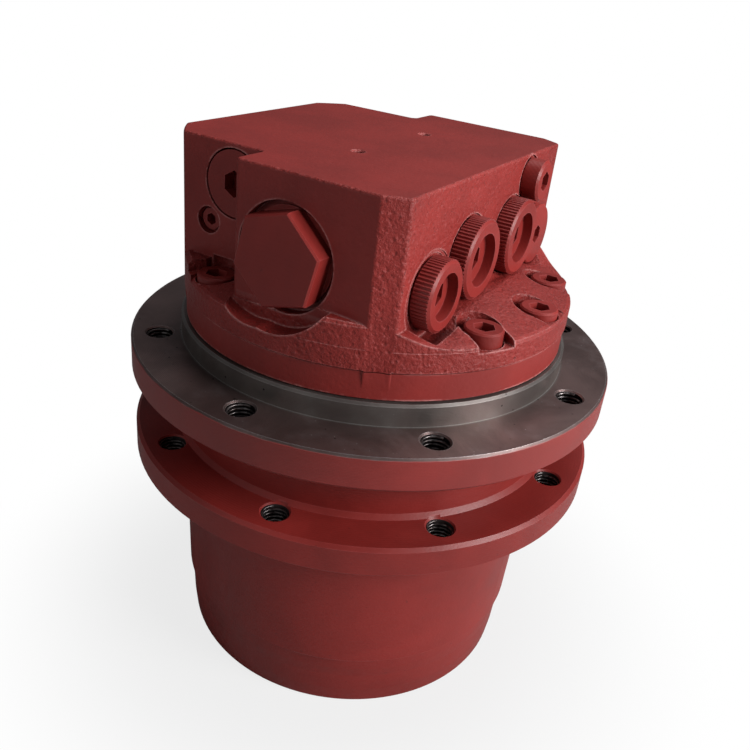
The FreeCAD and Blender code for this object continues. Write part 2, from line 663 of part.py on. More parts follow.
# ---------------------------------------------------------------- port block
def rolling_ridge():
    """The rim's high lip beside one machined face, rolling down towards the port face."""
    crest = [V(x, 0, FRAME_FACE + z) for x, z in LIP_CREST]
    curve = Part.BSplineCurve()
    curve.interpolate(crest)
    first, last = crest[0], crest[-1]
    low = BLOCK_FOOT + BAND_LONG + 1
    sides = Part.makePolygon([last, V(last.x, 0, low), V(first.x, 0, low), first])
    outline = Part.Wire([curve.toShape()] + sides.Edges)
    return Part.Face(outline).extrude(V(0, -100, 0))


def block_body():
    """The cast block over its round foot, with the sloping shelf and the wing."""
    reach = 100.0
    prism = box(BLOCK_BACK_X, BLOCK_FACE_X, -BLOCK_Y, BLOCK_Y, BLOCK_FOOT + 5, BLOCK_TOP)
    wing = box(WING_X, BLOCK_BACK_X + 1, -WING_Y, WING_Y, BLOCK_FOOT + 5, BLOCK_TOP)
    pad = box(WING_X - 1.5, WING_X + 1, -25.0, 10.0, BLOCK_FOOT + 20, BLOCK_TOP - 12.0)
    pad = pad.makeFillet(1.2, [e for e in pad.Edges if e.BoundBox.XMax < WING_X])
    head = prism.fuse(wing).common(tube(BLOCK_ROUND_R, 0, BLOCK_FOOT, BLOCK_TOP + 5))
    head = head.removeSplitter()
    upright = []
    for edge in head.Edges:
        ends = [v.Point for v in edge.Vertexes]
        if len(ends) == 2 and abs(ends[0].x - ends[1].x) < 0.01 and abs(ends[0].y - ends[1].y) < 0.01:
            upright.append(edge)
    head = head.makeFillet(BLOCK_CORNER, upright)
    rim = [e for e in head.Edges if e.BoundBox.ZMin > BLOCK_TOP - 0.01]
    head = head.makeFillet(BLOCK_RIM, rim)
    foot = turned([
        (0, BLOCK_FOOT), (BAND_R - 1.2, BLOCK_FOOT), (BAND_R - 1.2, BLOCK_FOOT + 0.8), (BAND_R, BLOCK_FOOT + 0.8),
        (BAND_R, BLOCK_FOOT + BAND_LONG), (BLOCK_ROUND_R, BLOCK_FOOT + BAND_LONG + 0.8),
        (BLOCK_ROUND_R, SHELF_RIM_Z - 1.8), (BLOCK_ROUND_R - 0.6, SHELF_RIM_Z - 0.4),
        (BLOCK_ROUND_R - 2.0, SHELF_RIM_Z + 0.4), (60.0, SHELF_FACE_Z), (0, SHELF_FACE_Z),
    ])
    body = foot.fuse(head)
    cove = []
    for edge in body.Edges:
        room = edge.BoundBox
        if abs(room.XMin - BLOCK_FACE_X) < 0.01 and abs(room.XMax - BLOCK_FACE_X) < 0.01 and room.ZMax < SHELF_FACE_Z + 1:
            if room.ZMin > BLOCK_FOOT + 10 and room.YLength > 5:
                cove.append(edge)
    body = body.makeFillet(SHELF_COVE, cove)
    ring = turned([
        (60.0, SHELF_FACE_Z - 8), (BLOCK_ROUND_R, SHELF_FACE_Z - 8), (BLOCK_ROUND_R, SHELF_FACE_Z + 1.0),
        (BLOCK_ROUND_R - 1.6, SHELF_FACE_Z + 3.0), (60.0, SHELF_FACE_Z + 3.0),
    ])
    ridge = rolling_ridge()
    front = ring.common(ridge).common(box(VALVE_X, reach, -reach, -50.0, BLOCK_FOOT, BLOCK_TOP))
    behind = front.mirror(V(0, 0, 0), V(0, 1, 0))
    low_ring = turned([
        (60.0, SHELF_FACE_Z - 8), (BLOCK_ROUND_R, SHELF_FACE_Z - 8), (BLOCK_ROUND_R, SHELF_FACE_Z - 2.0),
        (BLOCK_ROUND_R - 2.0, SHELF_FACE_Z), (60.0, SHELF_FACE_Z),
    ])
    side = low_ring.common(box(-reach, WING_X + 26.0, -76.0, 76.0, BLOCK_FOOT, BLOCK_TOP))
    return body.fuse([pad, front, behind, side])


def screw_pockets():
    """The dished seats of the block's screws, each open to the rim above its own lip."""
    tools = []
    for angle, lip in zip(SCREW_ANGLES, SCREW_LIPS):
        x, y = on_circle(SCREW_CIRCLE, 1, angle)[0]
        inner_x, inner_y = on_circle(SCREW_CIRCLE - 2.6, 1, angle)[0]
        high = SHELF_FACE_Z + 1.6
        dish = rod(SCREW_DISH_R, (x, y, SCREW_SEAT), (x, y, high))
        crescent = rod(SCREW_DISH_R + 0.8, (inner_x, inner_y, SCREW_SEAT), (inner_x, inner_y, high))
        slot = box(SCREW_CIRCLE, SCREW_CIRCLE + 20, -SCREW_DISH_R, SCREW_DISH_R, SCREW_SEAT + lip, high)
        tools.append(dish.fuse([crescent, about_z(slot, angle)]))
        tools.append(rod(SCREW_R + 0.3, (x, y, BLOCK_FOOT - 1), (x, y, SCREW_SEAT + 1)))
    return tools


def make_port_block():
    """The port block with its pockets, spool bores, plug seats and gauge ports."""
    block = block_body()
    for tool in screw_pockets():
        block = block.cut(tool)
    for y, z, r in PORT_PLUGS + (ROUND_PLUG,):
        block = block.cut(rod(r + 1.2, (BLOCK_FACE_X - PLUG_DEEP, y, z), (BLOCK_FACE_X + 40, y, z)))
        block = block.cut(rod(r * STEM_SHARE, (BLOCK_FACE_X - 24, y, z), (BLOCK_FACE_X + 1, y, z)))
    y, z, r = FLAT_PLUG
    block = block.cut(rod(r * STEM_SHARE, (BLOCK_FACE_X - 20, y, z), (BLOCK_FACE_X + 1, y, z)))
    block = block.cut(rod(r + 1.0, (BLOCK_FACE_X, y, z), (BLOCK_FACE_X + 40, y, z)))
    y, z, r = PORT_PLUGS[0]
    relief = rod(r + 3.6, (BLOCK_FACE_X - 0.5, y, z - 1.0), (PLUG_OUT + 3.0, y, z - 1.0))
    block = block.cut(relief)
    spool = rod(SPOOL_R, (VALVE_X, -BLOCK_Y - 1, VALVE_Z), (VALVE_X, BLOCK_Y + 1, VALVE_Z))
    block = block.cut(spool)
    for sense in (-1, 1):
        face = sense * BLOCK_Y
        wide = rod(SPRING_SEAT_R, (VALVE_X, face, VALVE_Z), (VALVE_X, sense * 46.0, VALVE_Z))
        mouth = rod(VALVE_MOUTH_R, (VALVE_X, sense * 100, VALVE_Z), (VALVE_X, sense * (BLOCK_Y - VALVE_DEEP), VALVE_Z))
        block = block.cut(wide).cut(mouth)
        for across in (0.0, -10.0):
            start = (VALVE_X + across, sense * 100, VALVE_Z)
            block = block.cut(rod(28.0, start, (VALVE_X + across, sense * (BLOCK_Y + 0.4), VALVE_Z)))
    for sense in (-1, 1):
        seat = rod(WING_PLUG_R, (WING_PLUG_X, sense * 100, WING_PLUG_Z), (WING_PLUG_X, sense * (WING_Y - 9), WING_PLUG_Z))
        block = block.cut(seat)
    bore = rod(SPEED_R, (WING_PLUG_X, -WING_Y, WING_PLUG_Z), (WING_PLUG_X, WING_Y, WING_PLUG_Z))
    small = rod(5.9, (PILOT_X, -100, PILOT_Z), (PILOT_X, -WING_Y + 4.0, PILOT_Z))
    small = small.fuse(rod(4.0, (PILOT_X, -100, PILOT_Z), (PILOT_X, -WING_Y + 16.0, PILOT_Z)))
    block = block.cut(bore).cut(small)
    for y in (-GAUGE_Y, GAUGE_Y):
        block = block.cut(coned_hole(GAUGE_R, GAUGE_R + 0.6, 0.0, y, BLOCK_TOP - 12, BLOCK_TOP, "top"))
    block = block.cut(tube(BEARING_SEAT_R, 0, BLOCK_FOOT - 1, BLOCK_FOOT + BEARING_WIDE + 0.2))
    block = block.cut(tube(SHAFT_R + 1.5, 0, BLOCK_FOOT, SHAFT_HIGH + 1.5))
    return block.removeSplitter()


def make_port_plug(y, z, r):
    """A cup-headed port plug with its deep round recess and hexagon socket."""
    back = BLOCK_FACE_X - PLUG_DEEP + 0.02
    head = rod(r, (back, y, z), (PLUG_OUT, y, z))
    edges = [e for e in head.Edges if e.Closed]
    head = head.makeChamfer(0.9, edges)
    stem = rod(r * STEM_SHARE - 0.03, (back - 18, y, z), (back + 1, y, z))
    plug = head.fuse(stem).cut(rod(r * 0.68, (PLUG_OUT - 4.5, y, z), (PLUG_OUT + 1, y, z)))
    return plug.cut(hexagon(10.0, (PLUG_OUT - 10.5, y, z), (1, 0, 0), 12.0))


def make_round_plug():
    y, z, r = ROUND_PLUG
    back = BLOCK_FACE_X - PLUG_DEEP + 0.02
    head = rod(r, (back, y, z), (PLUG_OUT, y, z))
    head = head.makeChamfer(1.0, [e for e in head.Edges if e.Closed])
    stem = rod(r * STEM_SHARE - 0.03, (back - 14, y, z), (back + 1, y, z))
    return head.fuse(stem).cut(hexagon(8.0, (PLUG_OUT - 6.0, y, z), (1, 0, 0), 8.0))


def make_flat_plug():
    y, z, r = FLAT_PLUG
    head = rod(r, (BLOCK_FACE_X + 0.02, y, z), (FLAT_OUT, y, z))
    head = head.makeChamfer(0.6, [e for e in head.Edges if e.Closed])
    stem = rod(r * STEM_SHARE - 0.03, (BLOCK_FACE_X - 14, y, z), (BLOCK_FACE_X + 1, y, z))
    return head.fuse(stem).cut(hexagon(8.0, (FLAT_OUT - 5.5, y, z), (1, 0, 0), 7.0))


def make_valve_plug(sense):
    """A hexagon plug over one end of the counterbalance valve, holding its spring."""
    seat = sense * (BLOCK_Y - VALVE_DEEP + 0.02)
    collar = rod(20.0, (VALVE_X, seat, VALVE_Z), (VALVE_X, seat + sense * 1.6, VALVE_Z))
    head = hexagon(VALVE_PLUG_FLATS, (VALVE_X, seat + sense, VALVE_Z), (0, sense, 0), VALVE_PLUG_OUT - abs(seat) - 1)
    crown = [e for e in head.Edges if abs(abs(e.BoundBox.YMin) - VALVE_PLUG_OUT) < 0.01
             and abs(abs(e.BoundBox.YMax) - VALVE_PLUG_OUT) < 0.01]
    head = head.makeChamfer(0.7, crown)
    head.rotate(V(VALVE_X, 0, VALVE_Z), V(0, 1, 0), -14.0 * sense)
    stem = rod(SPRING_SEAT_R - 0.03, (VALVE_X, seat + sense, VALVE_Z), (VALVE_X, sense * 66.0, VALVE_Z))
    hollow = rod(SPRING_SEAT_R - 3.0, (VALVE_X, sense * 72.0, VALVE_Z), (VALVE_X, sense * 60.0, VALVE_Z))
    return collar.fuse([head, stem]).cut(hollow)


def make_spool():
    """The counterbalance spool with its lands, grooves and stem ends."""
    spool = rod(SPOOL_R - 0.03, (VALVE_X, -44.0, VALVE_Z), (VALVE_X, 44.0, VALVE_Z))
    for y in (-30.0, -10.0, 10.0, 30.0):
        groove = rod(SPOOL_R + 1, (VALVE_X, y - 4, VALVE_Z), (VALVE_X, y + 4, VALVE_Z))
        core = rod(SPOOL_R - 3, (VALVE_X, y - 5, VALVE_Z), (VALVE_X, y + 5, VALVE_Z))
        spool = spool.cut(groove.cut(core))
    return spool


def coil(radius, wire, pitch, height, start, along):
    """A compression spring of flat wire on an axis."""
    helix = Part.makeHelix(pitch, height, radius)
    half = wire / 2
    outline = Part.makePolygon([V(radius - half, 0, -half), V(radius + half, 0, -half),
                                V(radius + half, 0, half), V(radius - half, 0, half), V(radius - half, 0, -half)])
    spring = Part.Wire(helix.Edges).makePipeShell([Part.Wire(outline.Edges)], True, True)
    placement = FreeCAD.Placement(V(*start), FreeCAD.Rotation(V(0, 0, 1), V(*along)))
    spring.Placement = placement
    return spring


def make_valve_springs():
    springs = []
    for sense in (-1, 1):
        start = (VALVE_X, sense * 45.2, VALVE_Z)
        springs.append(coil(6.3, 1.8, 4.6, 24.5, start, (0, sense, 0)))
    return group(springs)


def make_wing_plug(sense):
    """The flush plug over the two-speed spool, with its hexagon socket."""
    face = sense * (WING_Y - 0.15)
    plug = rod(WING_PLUG_R - 0.8, (WING_PLUG_X, sense * (WING_Y - 8.98), WING_PLUG_Z), (WING_PLUG_X, face, WING_PLUG_Z))
    return plug.cut(hexagon(10.0, (WING_PLUG_X, face + sense, WING_PLUG_Z), (0, -sense, 0), 7.0))


def make_speed_spool():
    spool = rod(SPEED_R - 0.03, (WING_PLUG_X, -52.0, WING_PLUG_Z), (WING_PLUG_X, 20.0, WING_PLUG_Z))
    for y in (-34.0, -10.0):
        groove = rod(SPEED_R + 1, (WING_PLUG_X, y - 4, WING_PLUG_Z), (WING_PLUG_X, y + 4, WING_PLUG_Z))
        core = rod(SPEED_R - 2.5, (WING_PLUG_X, y - 5, WING_PLUG_Z), (WING_PLUG_X, y + 5, WING_PLUG_Z))
        spool = spool.cut(groove.cut(core))
    return spool


def make_speed_spring():
    return coil(4.9, 1.5, 4.2, 31.0, (WING_PLUG_X, 21.0, WING_PLUG_Z), (0, 1, 0))


def make_small_plug():
    plug = rod(4.6, (PILOT_X, -WING_Y + 1.8, PILOT_Z), (PILOT_X, -WING_Y + 3.98, PILOT_Z))
    stem = rod(3.97, (PILOT_X, -WING_Y + 2, PILOT_Z), (PILOT_X, -WING_Y + 14, PILOT_Z))
    return plug.fuse(stem).cut(hexagon(4.6, (PILOT_X, -WING_Y, PILOT_Z), (0, 1, 0), 6.0))


def make_block_screws():
    screws = []
    for angle in SCREW_ANGLES:
        x, y = on_circle(SCREW_CIRCLE, 1, angle)[0]
        long = SCREW_SEAT - 157.0
        screws.append(socket_screw(SCREW_R - 0.03, SCREW_HEAD_R, SCREW_HEAD_LONG, SCREW_SEAT + 0.02, long, x, y))
    return group(screws)


# ---------------------------------------------------------------- the assembly
def main():
    nodes = {}
    nodes["hub"] = make_hub()
    nodes["end_cover"] = make_cover()
    nodes["oil_plugs"] = make_oil_plugs()
    nodes["cover_seal"] = torus((HUB_BORE_R + NECK_R) / 2, 1.25, SEAL_FLOOR + 1.27)

    nodes["spindle"] = make_spindle()
    nodes["bearing_nut"] = make_bearing_nut()
    low = make_bearing(RACE_LOW_Z, False)
    high = make_bearing(RACE_HIGH_Z, True)
    nodes["bearing_inner_races"] = group([low[0], high[0]])
    nodes["bearing_outer_races"] = group([low[1], high[1]])
    nodes["bearing_balls"] = group(low[2] + high[2])
    nodes["bearing_cages"] = group([low[3], high[3]])
    nodes["seal_ring_hub"] = make_seal_ring(135.0, SEAL_Z)
    nodes["seal_ring_spindle"] = make_seal_ring(SEAL_Z + 0.03, SEAL_Z + 9.0)
    nodes["seal_rubber_hub"] = torus(RUBBER_R, TORIC_R, 137.2)
    nodes["seal_rubber_spindle"] = torus(RUBBER_R, TORIC_R, 151.6)

    nodes["first_sun_shaft"] = make_sun1()
    for n, shape in enumerate(make_planets(PLANET1_TEETH, ARM1, GEAR1_LOW, GEAR1_HIGH, PIN1_R)):
        nodes["first_planet_%d" % (n + 1)] = shape
    nodes["first_planet_sleeves"] = make_sleeves(ARM1, GEAR1_LOW, GEAR1_HIGH + 1.7, PIN1_R)
    nodes["first_planet_pins"] = make_pins1()
    nodes["first_carrier"] = make_carrier1()
    nodes["second_sun"] = make_sun2()
    for n, shape in enumerate(make_planets(PLANET2_TEETH, ARM2, GEAR2_LOW, GEAR2_HIGH, PIN2_R)):
        nodes["second_planet_%d" % (n + 1)] = shape
    nodes["second_planet_sleeves"] = make_sleeves(ARM2, KEEP_HIGH + 0.2, SPINDLE_LOW - 0.02, PIN2_R)
    nodes["second_planet_pins"] = make_pins2()
    nodes["planet_keep_plate"] = make_keep_plate()
    nodes["keep_plate_screws"] = make_keep_screws()

    nodes["motor_shaft"] = make_shaft()
    nodes["cylinder_barrel"] = make_barrel()
    nodes["pistons"] = make_pistons()
    nodes["piston_shoes"] = make_shoes()
    nodes["shoe_retaining_plate"] = make_retainer()
    nodes["ball_guide"] = make_guide()
    nodes["barrel_springs"] = make_barrel_springs()
    nodes["swash_plate"] = make_swash()
    nodes["swash_pivot_balls"] = group([Part.makeSphere(PIVOT_R, V(0, y, CAVITY_FLOOR)) for y in (-PIVOT_Y, PIVOT_Y)])
    nodes["valve_plate"] = make_valve_plate()
    steel, friction, stack = make_brake_plates()
    nodes["brake_steel_plates"] = steel
    nodes["brake_friction_plates"] = friction
    nodes["brake_piston"] = make_brake_piston(stack)
    nodes["brake_disc_spring"] = make_brake_spring()
    foot = make_shaft_bearing(100.0)
    head = make_shaft_bearing(BLOCK_FOOT + 0.1)
    nodes["shaft_bearing_outer_rings"] = group([foot[0], head[0]])
    nodes["shaft_bearing_inner_rings"] = group([foot[1], head[1]])
    nodes["shaft_bearing_rollers"] = group(foot[2] + head[2])
    nodes["shaft_seal"] = tube(BEARING_SEAT_R - RUN, SHAFT_R + RUN, 94.0, 99.0)

    nodes["port_block"] = make_port_block()
    nodes["block_seal_ring"] = tube(CAVITY_R + 6.1, CAVITY_R + 2.9, BLOCK_FOOT - 2.5, BLOCK_FOOT - 0.02)
    nodes["block_screws"] = make_block_screws()
    nodes["port_plugs"] = group([make_port_plug(*place) for place in PORT_PLUGS])
    nodes["round_plug"] = make_round_plug()
    nodes["flat_plug"] = make_flat_plug()
    nodes["valve_plugs"] = group([make_valve_plug(-1), make_valve_plug(1)])
    nodes["counterbalance_spool"] = make_spool()
    nodes["counterbalance_springs"] = make_valve_springs()
    nodes["wing_plugs"] = group([make_wing_plug(-1), make_wing_plug(1), make_small_plug()])
    nodes["speed_spool"] = make_speed_spool()
    nodes["speed_spring"] = make_speed_spring()

    for name, shape in nodes.items():
        shape.exportStep("parts/%s.step" % name)


main()
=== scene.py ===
import json
import math

import bmesh
import bpy
from mathutils import Matrix, Vector


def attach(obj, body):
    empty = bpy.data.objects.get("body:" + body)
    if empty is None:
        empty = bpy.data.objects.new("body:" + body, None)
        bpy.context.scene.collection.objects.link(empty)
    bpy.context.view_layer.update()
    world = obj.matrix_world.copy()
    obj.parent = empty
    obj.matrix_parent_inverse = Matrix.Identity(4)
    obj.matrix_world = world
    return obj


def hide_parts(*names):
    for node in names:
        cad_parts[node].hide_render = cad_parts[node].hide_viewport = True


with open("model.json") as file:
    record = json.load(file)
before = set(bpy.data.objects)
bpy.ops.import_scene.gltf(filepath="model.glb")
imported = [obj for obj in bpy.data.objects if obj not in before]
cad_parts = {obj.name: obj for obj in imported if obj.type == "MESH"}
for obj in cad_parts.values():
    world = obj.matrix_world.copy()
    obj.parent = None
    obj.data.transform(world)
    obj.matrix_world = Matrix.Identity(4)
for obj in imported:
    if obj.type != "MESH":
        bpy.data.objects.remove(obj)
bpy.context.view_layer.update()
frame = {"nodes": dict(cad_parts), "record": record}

NODES = frame["nodes"]

# ---- heights and radii of the drive, in metres ----
FRAME_FACE = 0.164
FRAME_THICK = 0.016
FRAME_PCR = 0.1022
FRAME_HOLES = 8
HUB_FLANGE_LOW = 0.106
HUB_FLANGE_HIGH = 0.120
HUB_PCR = 0.1011
HUB_HOLES = 9
BLOCK_TOP = 0.2554
HOLE_R = 0.006
THREAD_DEEP = 0.0009
THREAD_PITCH = 0.00175
THREAD_INSET = 0.0012

BAND_R = 0.0898
BAND_LOW = 0.1748
BAND_HIGH = 0.1871
PLUG_BACK = 0.0505
PLUG_FRONT = 0.0594
KNURL_PITCH = 0.00155
KNURL_SINK = 0.00008
KNURL_INSET = 0.0010

# ---- port plugs: Y, Z and head radius ----
PORT_PLUGS = ((-0.053, 0.2146, 0.0144), (-0.021, 0.2215, 0.0166), (0.0225, 0.2213, 0.0168))

# ---- paint and metal colours, linear ----
RED = (0.190, 0.0165, 0.0135)
# Pale red: a painted highlight on the cast paint's grain crests, and on the rubbed edges of the turned paint.
RED_HIGHLIGHT_AND_WEAR = (0.38, 0.085, 0.085)
# Dark red: real dark specks in the turned paint, and painted shade in the grain hollows of the cast paint.
RED_SPECK_AND_SHADE = (0.050, 0.006, 0.006)
# Worn pink: rubbed paint on the cast edges, partly a painted edge highlight.
RED_EDGE_WEAR_AND_HIGHLIGHT = (0.55, 0.26, 0.25)
STEEL = (0.105, 0.070, 0.066)
STEEL_PALE = (0.34, 0.31, 0.32)
# Near-black steel: real dark specks on the flange face, and painted shade on the walls of the tapped holes.
STEEL_SPECK_AND_HOLE_SHADE = (0.018, 0.013, 0.013)
PILOT_STEEL = (0.20, 0.20, 0.185)


# ---------------------------------------------------------------- shader helpers
class Shader:
    """A material under construction: adds nodes and links them in a line or two."""

    def __init__(self, name):
        self.material = bpy.data.materials.new(name)
        self.material.use_nodes = True
        self.tree = self.material.node_tree
        self.tree.nodes.clear()
        self.output = self.add("ShaderNodeOutputMaterial")
        self.surface = self.add("ShaderNodeBsdfPrincipled")
        self.link(self.surface.outputs[0], self.output.inputs["Surface"])
        self.place = self.add("ShaderNodeTexCoord").outputs["Object"]

    def add(self, kind, **settings):
        node = self.tree.nodes.new(kind)
        for key, value in settings.items():
            setattr(node, key, value)
        return node

    def link(self, source, target):
        self.tree.links.new(source, target)

    def feed(self, target, value):
        """Sets a socket from another socket, a number or a colour."""
        if isinstance(value, bpy.types.NodeSocket):
            self.link(value, target)
        elif isinstance(value, tuple) and len(value) == 3 and target.type == "RGBA":
            target.default_value = (*value, 1.0)
        else:
            target.default_value = value

    def math(self, operation, a, b=0.0, c=0.0, clamp=False):
        node = self.add("ShaderNodeMath", operation=operation, use_clamp=clamp)
        for socket, value in zip(node.inputs, (a, b, c)):
            self.feed(socket, value)
        return node.outputs[0]

    def noise(self, scale, detail=3.0, rough=0.55, place=None, lean=0.0):
        node = self.add("ShaderNodeTexNoise")
        self.feed(node.inputs["Vector"], place or self.place)
        node.inputs["Scale"].default_value = scale
        node.inputs["Detail"].default_value = detail
        node.inputs["Roughness"].default_value = rough
        node.inputs["Distortion"].default_value = lean
        return node.outputs[0]

    def cells(self, scale, place=None):
        node = self.add("ShaderNodeTexVoronoi")
        self.feed(node.inputs["Vector"], place or self.place)
        node.inputs["Scale"].default_value = scale
        return node.outputs["Distance"]

    def ramp(self, value, low, high, start=0.0, end=1.0):
        node = self.add("ShaderNodeMapRange", interpolation_type="SMOOTHSTEP")
        limits = {"Value": value, "From Min": low, "From Max": high, "To Min": start, "To Max": end}
        for key, given in limits.items():
            self.feed(node.inputs[key], given)
        return node.outputs[0]

    def blend(self, amount, a, b):
        node = self.add("ShaderNodeMix", data_type="RGBA")
        self.feed(node.inputs[0], amount)
        self.feed(node.inputs[6], a)
        self.feed(node.inputs[7], b)
        return node.outputs[2]

    def between(self, amount, a, b):
        node = self.add("ShaderNodeMix", data_type="FLOAT")
        self.feed(node.inputs[0], amount)
        self.feed(node.inputs[2], a)
        self.feed(node.inputs[3], b)
        return node.outputs[0]

    def split(self, vector=None):
        node = self.add("ShaderNodeSeparateXYZ")
        self.link(vector or self.place, node.inputs[0])
        return node.outputs

    def radius(self):
        x, y, _ = self.split()
        return self.math("SQRT", self.math("ADD", self.math("MULTIPLY", x, x), self.math("MULTIPLY", y, y)))

    def facing_up(self):
        geometry = self.add("ShaderNodeNewGeometry")
        return self.split(geometry.outputs["True Normal"])[2]

    def inside(self, value, low, high, soft):
        """1 where a value lies between two limits, with soft ends."""
        return self.math("MULTIPLY", self.ramp(value, low - soft, low), self.ramp(value, high + soft, high))

    def hole_walls(self, ring, low, high):
        """1 on the walls of a flange's tapped holes."""
        level = self.math("ABSOLUTE", self.facing_up())
        upright = self.ramp(level, 0.5, 0.4)
        near = self.inside(self.radius(), ring - 0.0072, ring + 0.0072, 0.0002)
        within = self.inside(self.split()[2], low, high, 0.0002)
        return self.math("MULTIPLY", self.math("MULTIPLY", upright, near), within)

    def bump(self, height, strength, distance, normal=None):
        node = self.add("ShaderNodeBump")
        self.feed(node.inputs["Height"], height)
        node.inputs["Strength"].default_value = strength
        node.inputs["Distance"].default_value = distance
        if normal:
            self.link(normal, node.inputs["Normal"])
        return node.outputs[0]

    def edges(self, reach):
        """1 on sharp edges and 0 on open faces, from a bevelled normal set against the true one."""
        bevel = self.add("ShaderNodeBevel", samples=6)
        bevel.inputs["Radius"].default_value = reach
        geometry = self.add("ShaderNodeNewGeometry")
        dot = self.add("ShaderNodeVectorMath", operation="DOT_PRODUCT")
        self.link(bevel.outputs[0], dot.inputs[0])
        self.link(geometry.outputs["Normal"], dot.inputs[1])
        return self.ramp(dot.outputs["Value"], 0.985, 0.80)

    def finish(self, colour, rough, metal=0.0, normal=None, coat=0.0, level=0.5):
        self.feed(self.surface.inputs["Base Color"], colour)
        self.feed(self.surface.inputs["Roughness"], rough)
        self.feed(self.surface.inputs["Metallic"], metal)
        self.surface.inputs["Coat Weight"].default_value = coat
        self.surface.inputs["Coat Roughness"].default_value = 0.25
        self.surface.inputs["Specular IOR Level"].default_value = level
        if normal:
            self.link(normal, self.surface.inputs["Normal"])
        return self.material


# ---------------------------------------------------------------- materials
def cast_red(name, grain, relief, base=RED):
    """Satin red paint over a sand casting, grainy as cast and smooth where a cutter has faced it."""
    s = Shader(name)
    normal_y = s.split(s.add("ShaderNodeNewGeometry").outputs["True Normal"])[1]
    top = s.ramp(s.facing_up(), 0.97, 0.995)
    top = s.math("MULTIPLY", top, s.ramp(s.split()[2], BLOCK_TOP - 0.002, BLOCK_TOP - 0.001))
    side = s.ramp(s.math("ABSOLUTE", normal_y), 0.985, 0.998)
    side = s.math("MULTIPLY", side, s.ramp(s.split()[2], FRAME_FACE + 0.036, FRAME_FACE + 0.039))
    foot = s.ramp(s.split()[2], FRAME_FACE + 0.0228, FRAME_FACE + 0.0224)
    faced = s.math("MAXIMUM", s.math("MAXIMUM", top, side), foot)
    rough_cast = s.math("SUBTRACT", 1.0, s.math("MULTIPLY", faced, 0.86))
    lumps = s.noise(95.0, 3.0, 0.6)
    fine = s.noise(grain, 4.0, 0.65)
    pits = s.ramp(s.cells(grain * 0.55), 0.05, 0.42)
    patch = s.noise(22.0, 4.0, 0.6)
    colour = s.blend(s.ramp(patch, 0.35, 0.70), base, tuple(c * 1.30 for c in base))
    # Painted shade: the low points of the grain bump are darkened.
    hollow_shade = s.math("MULTIPLY", s.ramp(fine, 0.42, 0.24), 0.75)
    colour = s.blend(s.math("MULTIPLY", hollow_shade, rough_cast), colour, RED_SPECK_AND_SHADE)
    # Painted highlight: the high points of the grain bump are lightened.
    crests = s.math("MULTIPLY", s.ramp(fine, 0.56, 0.72), 0.40)
    colour = s.blend(s.math("MULTIPLY", crests, rough_cast), colour, RED_HIGHLIGHT_AND_WEAR)
    # Edges paled in noisy patches: rubbed paint, partly a painted edge highlight.
    edge_patches = s.math("ADD", patch, s.math("MULTIPLY", fine, 0.5))
    rub = s.math("MULTIPLY", s.edges(0.0018), s.ramp(edge_patches, 0.60, 0.85))
    colour = s.blend(s.math("MULTIPLY", rub, 0.80), colour, RED_EDGE_WEAR_AND_HIGHLIGHT)
    rough = s.between(fine, 0.36, 0.62)
    height = s.math("ADD", s.math("MULTIPLY", fine, 0.75), s.math("MULTIPLY", pits, 0.25))
    normal = s.bump(s.math("MULTIPLY", height, rough_cast), 0.85, relief)
    normal = s.bump(s.math("MULTIPLY", lumps, rough_cast), 0.5, relief * 1.8, normal)
    return s.finish(colour, rough, 0.0, normal, level=0.34)


def turned_red(name, base=RED, rings=5200.0, holes=False):
    """Satin red paint over a turned surface: tool rings, orange peel, rubbed edges that are partly a painted
    edge highlight, and tapped holes of oiled steel darkened to near black as painted shade.
    """
    s = Shader(name)
    height = s.split()[2]
    across = s.math("ADD", s.radius(), height)
    lines = s.math("SINE", s.math("MULTIPLY", across, rings))
    uneven = s.noise(60.0, 3.0, 0.6)
    peel = s.noise(900.0, 2.0, 0.5)
    patch = s.noise(14.0, 5.0, 0.62, lean=0.4)
    colour = s.blend(s.ramp(patch, 0.30, 0.72), tuple(c * 0.86 for c in base), tuple(c * 1.22 for c in base))
    specks = s.ramp(s.noise(420.0, 2.0, 0.5), 0.70, 0.76)
    colour = s.blend(s.math("MULTIPLY", specks, 0.35), colour, RED_SPECK_AND_SHADE)
    # Edges paled where the noise allows: rubbed paint, partly a painted edge highlight.
    rub = s.math("MULTIPLY", s.edges(0.0010), s.ramp(uneven, 0.30, 0.62))
    colour = s.blend(s.math("MULTIPLY", rub, 0.60), colour, RED_HIGHLIGHT_AND_WEAR)
    # Tapped hole walls made near black: oiled bare steel, darkened as painted shade.
    if holes:
        colour = s.blend(s.hole_walls(HUB_PCR, HUB_FLANGE_LOW, HUB_FLANGE_HIGH), colour, STEEL_SPECK_AND_HOLE_SHADE)
    rough = s.between(patch, 0.34, 0.56)
    fine = s.math("ADD", s.math("MULTIPLY", lines, 0.16), s.math("MULTIPLY", peel, 0.8))
    normal = s.bump(fine, 0.35, 0.00016)
    normal = s.bump(uneven, 0.30, 0.0005, normal)
    return s.finish(colour, rough, 0.0, normal, level=0.34)


